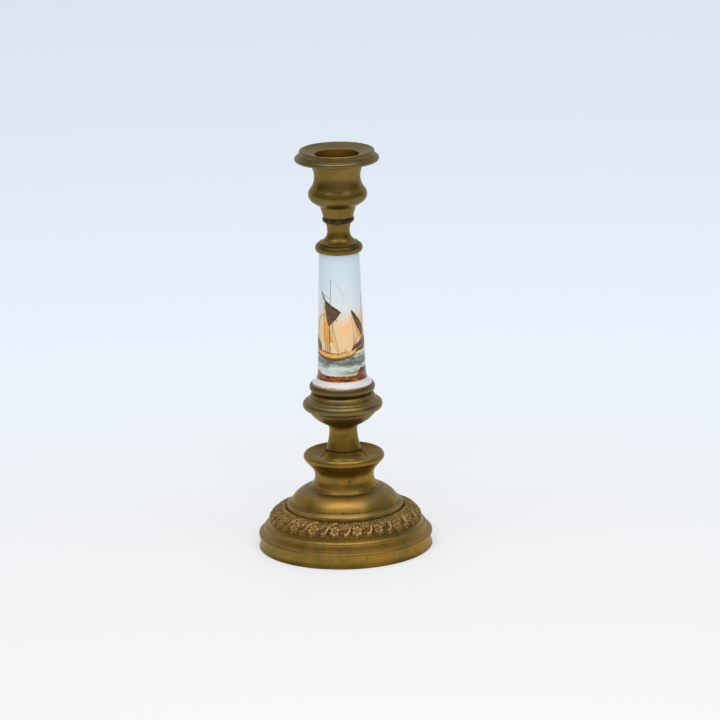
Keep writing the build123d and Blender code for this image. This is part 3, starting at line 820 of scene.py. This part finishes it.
def far_boat(material):
    """The smaller boat, right of the front, heeling away with its sail half gold."""
    p = Painting("boat_far")
    gold_sail = [(115.8, 54, 68), (118.4, 46, 70), (122.0, 38, 58), (126.0, 34, 46), (130.6, 29, 33)]
    p.field(gold_sail, AMBER, GOLD)
    p.next_layer()
    dark_sail_low = [(117.2, 62, 71), (120.0, 52, 70), (123.4, 42, 65)]
    dark_sail_top = [(127.0, 35, 52), (130.0, 30, 38), (132.0, 28, 30)]
    p.field(dark_sail_low + dark_sail_top, UMBER, BROWN)
    hull = [(109.6, 26, 66), (111.4, 28, 80), (113.4, 38, 86), (115.0, 56, 88), (116.2, 70, 86)]
    p.field(hull, BROWN, UMBER)
    p.next_layer()
    p.stroke([(63, 113.0), (65, 122.0), (68, 130.0), (70.5, 138.8)], [0.46, 0.42, 0.36, 0.20], BROWN, UMBER)
    p.stroke([(69, 137.6), (73, 137.8)], [0.60, 0.50], PENNANT)
    p.stroke([(27, 132.4), (38, 130.0), (52, 126.0), (66, 121.0)], [0.26, 0.56, 0.50, 0.24], INK)
    p.stroke([(28.5, 131.6), (30, 126.0), (32, 120.0)], [0.12, 0.16, 0.12], GREY)
    p.stroke([(32, 120.0), (33, 115.0), (26, 109.6)], [0.12, 0.18, 0.12], UMBER)
    p.stroke([(36, 121.0), (34, 114.0), (22, 109.0)], [0.12, 0.18, 0.12], UMBER)
    p.stroke([(44, 119.0), (38, 114.0), (30, 110.6)], [0.16, 0.30, 0.16], INK)
    p.stroke([(60, 117.0), (50, 114.0), (36, 111.0)], [0.20, 0.36, 0.20], INK)
    p.stroke([(40, 112.6), (54, 114.4), (74, 116.6)], [0.20, 0.44, 0.24], RUST)
    p.stroke([(34, 110.6), (54, 111.6), (78, 113.4)], [0.18, 0.50, 0.26], AMBER, RUST)
    for number in range(8):
        turn = 30 + 5.5 * number
        p.stroke([(turn, 110.2 + 0.5 * number), (turn + 4.0, 113.4 + 0.5 * number)], [0.34, 0.14], INK, RUST)
    for number in range(5):
        turn = 34 + 6.0 * number
        p.stroke([(turn, 128.6 - 2.0 * number), (turn + 7.0, 125.6 - 2.0 * number)], [0.10, 0.24], RUST, INK)
    p.stroke([(76, 131.0), (74, 124.0), (68, 116.0)], [0.12, 0.20, 0.12], ROSE)
    p.finish(material)


# ---------------------------------------------------------------- thread on the tie rod
THREAD_PITCH = 1.0
THREAD_LOW, THREAD_HIGH = 32.3, 35.3
THREAD_ROOT, THREAD_CREST = 2.92, 3.30
THREAD_RUNOUT_CREST = 2.94
# Across the thread: whether the point is on its crest, and its height from the middle.
THREAD_SECTION = ((False, -0.44), (True, -0.08), (True, 0.08), (False, 0.44))
STEPS_PER_TURN = 48
RUNOUT_STEPS = 12


def rod_thread(material):
    """The screw thread that shows on the rod's end under the nut."""
    turns = (THREAD_HIGH - THREAD_LOW) / THREAD_PITCH
    count = int(turns * STEPS_PER_TURN)
    verts, rings = [], []
    for i in range(count + 1):
        share = i / count
        turn = 2 * math.pi * turns * share
        middle = THREAD_LOW + share * (THREAD_HIGH - THREAD_LOW)
        fade = min(1.0, i / RUNOUT_STEPS, (count - i) / RUNOUT_STEPS)
        crest = THREAD_RUNOUT_CREST + (THREAD_CREST - THREAD_RUNOUT_CREST) * fade
        ring = []
        for on_crest, dz in THREAD_SECTION:
            r = crest if on_crest else THREAD_ROOT
            verts.append((r * math.cos(turn) * MM, r * math.sin(turn) * MM, (middle + dz) * MM))
            ring.append(len(verts) - 1)
        rings.append(ring)
    faces = []
    for a, b in zip(rings, rings[1:]):
        for j in range(len(a)):
            k = (j + 1) % len(a)
            faces.append((a[j], b[j], b[k], a[k]))
    faces.append(tuple(rings[0]))
    faces.append(tuple(reversed(rings[-1])))
    piece = mesh_object("rod_thread", verts, faces, smooth=False)
    piece.data.materials.append(material)
    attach(piece, "stand")


# ---------------------------------------------------------------- studio
FLOOR_REACH = 12.0
GLOW_CENTRE_Y = -0.25
GLOW_STRENGTH = 0.82
PAPER_NEAR = (0.42, 0.422, 0.425)
PAPER_FAR = (0.400, 0.42, 0.45)
GLOW_NEAR = (0.530, 0.548, 0.562)
GLOW_FAR = (0.560, 0.625, 0.700)
TENT_SIDES = (0.16, 0.16, 0.16)
TENT_BACK = (0.76, 0.79, 0.84)
TENT_FRONT = (0.36, 0.35, 0.34)
TENT_TOP = (0.54, 0.55, 0.56)


def make_floor():
    """White paper with a faint glow, bluer away from the object, with painted shade towards the camera."""
    mesh = bpy.data.meshes.new("floor")
    signs = ((-1, -1), (1, -1), (1, 1), (-1, 1))
    corners = [(x * FLOOR_REACH, y * FLOOR_REACH, 0) for x, y in signs]
    mesh.from_pydata(corners, [], [(0, 1, 2, 3)])
    floor = bpy.data.objects.new("floor", mesh)
    bpy.context.collection.objects.link(floor)
    material = bpy.data.materials.new("paper")
    material.use_nodes = True
    n = Nodes(material.node_tree)
    place = n.add("ShaderNodeTexCoord").outputs["Object"]
    x, y, _ = n.split(place)
    y = n.math("SUBTRACT", y, GLOW_CENTRE_Y)
    away = n.math("SQRT", n.plus(n.times(x, x), n.times(y, y)))
    tint = n.ramp(away, 0.25, 0.75)
    # Painted shade on the floor towards the camera, on its colour and on its glow.
    camera_side_shade = n.ramp(y, -0.60, -0.06, 0.42, 1.0)
    shader = material.node_tree.nodes["Principled BSDF"]
    paper = n.mix(tint, PAPER_NEAR, PAPER_FAR)
    paper = n.mix(1.0, paper, n.combine(camera_side_shade, camera_side_shade, camera_side_shade), "MULTIPLY")
    n.put(shader.inputs["Base Color"], paper)
    n.put(shader.inputs["Roughness"], n.ramp(n.noise(place, 30.0), 0.3, 0.7, 0.85, 0.95))
    shader.inputs["Specular IOR Level"].default_value = 0.1
    glow = n.mix(tint, GLOW_NEAR, GLOW_FAR)
    glow = n.mix(1.0, glow, n.combine(camera_side_shade, camera_side_shade, camera_side_shade), "MULTIPLY")
    n.put(shader.inputs["Emission Color"], glow)
    shader.inputs["Emission Strength"].default_value = GLOW_STRENGTH
    mesh.materials.append(material)


def make_light(name, place, target, size, power, colour):
    """An area light, size in metres and power in watts, turned to its target."""
    data = bpy.data.lights.new(name, "AREA")
    data.shape = "RECTANGLE"
    data.size, data.size_y = size
    data.energy = power
    data.color = colour
    light = bpy.data.objects.new(name, data)
    bpy.context.collection.objects.link(light)
    ahead = Vector(target) - Vector(place)
    light.location = place
    light.rotation_euler = ahead.to_track_quat("-Z", "Y").to_euler()
    return light


def make_world():
    """A white tent: bright behind the object and overhead, darker at its sides and in front."""
    world = bpy.data.worlds.new("tent")
    bpy.context.scene.world = world
    world.use_nodes = True
    n = Nodes(world.node_tree)
    heading = n.add("ShaderNodeTexCoord").outputs["Generated"]
    _, y, z = n.split(heading)
    shade = n.mix(n.ramp(y, 0.05, 0.75), TENT_SIDES, TENT_BACK)
    shade = n.mix(n.ramp(y, -0.80, -0.10, 1.0, 0.0), shade, TENT_FRONT)
    shade = n.mix(n.ramp(z, 0.35, 0.90), shade, TENT_TOP)
    background = world.node_tree.nodes["Background"]
    n.put(background.inputs["Color"], shade)
    background.inputs["Strength"].default_value = 1.0


def make_studio():
    make_floor()
    make_world()
    make_light(
        "key",
        place=(0.0, -0.34, 1.50),
        target=(0.0, 0.0, 0.10),
        size=(1.7, 0.60),
        power=11.6,
        colour=(1.0, 0.98, 0.95),
    )
    fill = make_light(
        "fill",
        place=(0.0, -1.25, 0.75),
        target=(0.0, 0.0, 0.12),
        size=(1.3, 0.9),
        power=8.0,
        colour=(1.0, 1.0, 1.0),
    )
    fill.visible_glossy = False
    bpy.context.scene.view_settings.view_transform = "Standard"


# ---------------------------------------------------------------- the whole
def wear(node, material):
    """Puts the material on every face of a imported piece."""
    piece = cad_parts[node]
    for slot in piece.material_slots:
        slot.material = material
    if not piece.material_slots:
        piece.data.materials.append(material)


def main():
    make_camera()
    make_studio()
    # The shade given to each piece, the number after its colours or shade=, also paints in how much light it
    # gets: painted light and shade from piece to piece.
    wear("drip_nozzle", brass("brass_nozzle", WARM_GREY, GREY_BRASS, 0.85, 0.8, 0.30, reflection_radius=PAINTED_REFLECTION_R))
    wear("candle_cup", brass("brass_cup", CUP_WARM, shade=0.90, deep=0.5, marks=CUP_MARKS))
    wear("upper_stem", brass("brass_upper_stem", shade=0.86, dusty_sheen=0.2, marks=UPPER_STEM_MARKS))
    wear("seat_ring", brass("brass_seat_ring", WARM_GREY, GREY_BRASS, 0.78, deep=0.5))
    wear("knop", brass("brass_knop", KNOP_WARM, GREY_BRASS, 0.98, deep=0.42))
    lower_stem = brass("brass_lower_stem", shade=0.90, dusty_sheen=0.3, deep=0.25, marks=LOWER_STEM_MARKS)
    wear("lower_stem", lower_stem)
    wear("foot", brass("brass_foot", shade=1.10, deep=0.55, marks=FOOT_MARKS, cast=True))
    wear("collar_ring", dark_brass("brass_dark"))
    wear("porcelain_column", porcelain("porcelain_painted"))
    for node in ("tie_rod", "clamp_washer", "clamp_nut"):
        wear(node, steel("steel_" + node))
    for node in ("upper_packing", "lower_packing"):
        wear(node, leather("leather_" + node))
    ornament_band(brass("brass_ornament", shade=0.94, deep=0.50, relief=True))
    paint = enamel("enamel_paint")
    near_boat(paint)
    far_boat(paint)
    rod_thread(steel("steel_thread"))


main()
